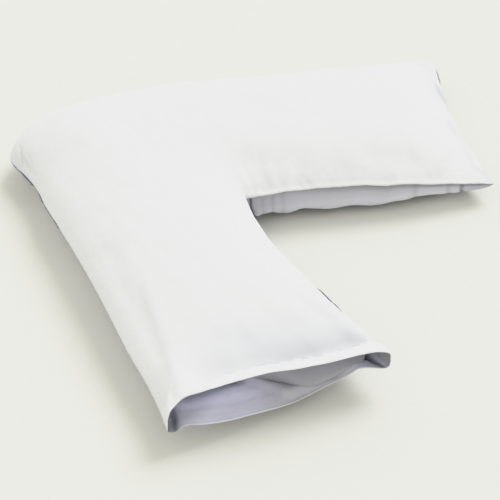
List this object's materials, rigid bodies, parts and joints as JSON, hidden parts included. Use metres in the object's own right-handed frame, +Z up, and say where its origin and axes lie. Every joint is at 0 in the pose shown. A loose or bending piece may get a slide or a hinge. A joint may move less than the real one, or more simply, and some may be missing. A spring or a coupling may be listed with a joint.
{
  "type": "v shaped pillow in an open-ended case",
  "caption": "Filled V shaped pillow in a white cotton case with one open hemmed end, lying flat on its back.",
  "frame": {"origin": "on the surface it lies on, under the middle of its whole outline", "axes": "+Z up through the top panel; the closed arm runs from the outer corner along +X and the open-mouthed arm along -Y"},
  "size_m": [0.8464, 0.819, 0.1252],
  "materials": {
    "cotton_white": "plain woven, smooth, matt",
    "cotton_lilac": "plain woven, smooth, matt",
    "pillow_cover": "thin plain woven cover, matt"
  },
  "bodies": {
    "root": {"case_top": "cotton_white", "case_underside": "cotton_lilac", "pillow": "pillow_cover"}
  },
  "joints": []
}
